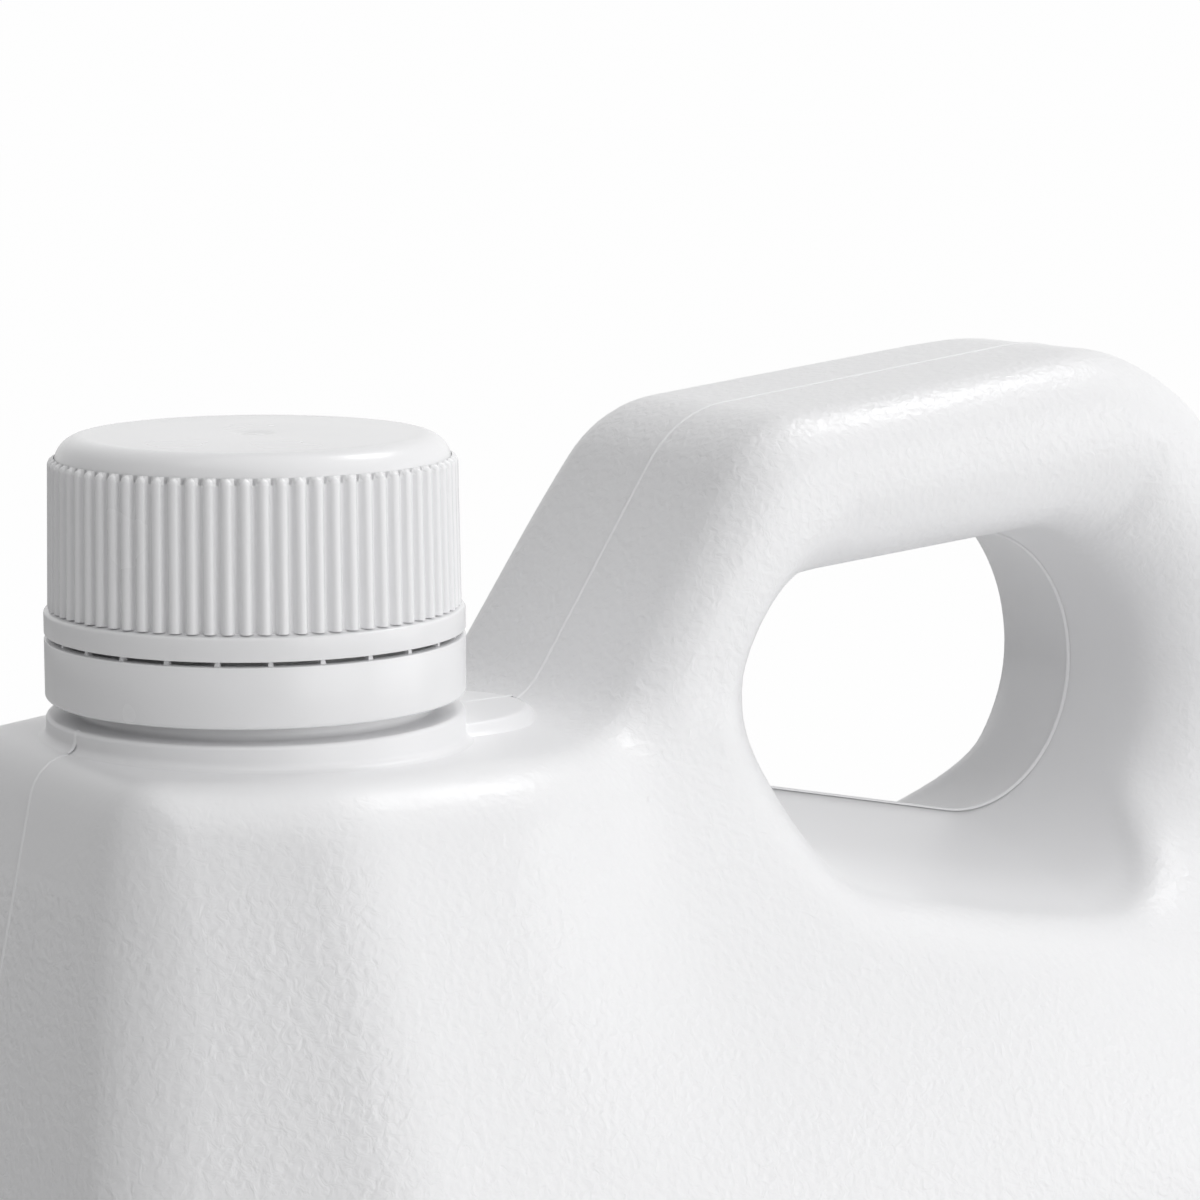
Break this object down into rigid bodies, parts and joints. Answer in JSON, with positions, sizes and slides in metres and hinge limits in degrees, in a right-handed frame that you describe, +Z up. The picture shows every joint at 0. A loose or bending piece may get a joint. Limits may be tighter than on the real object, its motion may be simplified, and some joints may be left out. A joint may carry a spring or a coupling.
{
  "type": "disinfectant jug",
  "caption": "Blow moulded plastic jug with a moulded-in handle, chamfered shoulders, and a ribbed screw cap with a tamper band on its neck.",
  "frame": {"origin": "centre of the base on the surface it stands on", "axes": "+Z up along the neck, +X from the neck towards the handle's rear, +Y across the parting plane, away from the viewer of the front face"},
  "size_m": [0.1886, 0.1008, 0.2454],
  "materials": {
    "jug": "fine moulded grain, satin",
    "cap": "smooth, semi-gloss",
    "liner": "closed-cell foam"
  },
  "bodies": {
    "jug": {"jug_body": "jug", "tamper_band": "cap"},
    "liner": {"cap_liner": "liner"},
    "cap": {"screw_cap": "cap"}
  },
  "joints": [
    {"name": "cap_lift", "type": "slide", "parent": "jug", "child": "liner", "axis": [0, 0, 1], "range_m": [0, 0.0285]},
    {"name": "cap_turn", "type": "hinge", "parent": "liner", "child": "cap", "pos_m": [-0.05575, 0, 0.2215], "axis": [0, 0, 1], "range_deg": [0, 1080]}
  ],
  "couplings": [
    {"joint": "cap_turn", "follows": "cap_lift", "rad_per_m": 661.39}
  ]
}
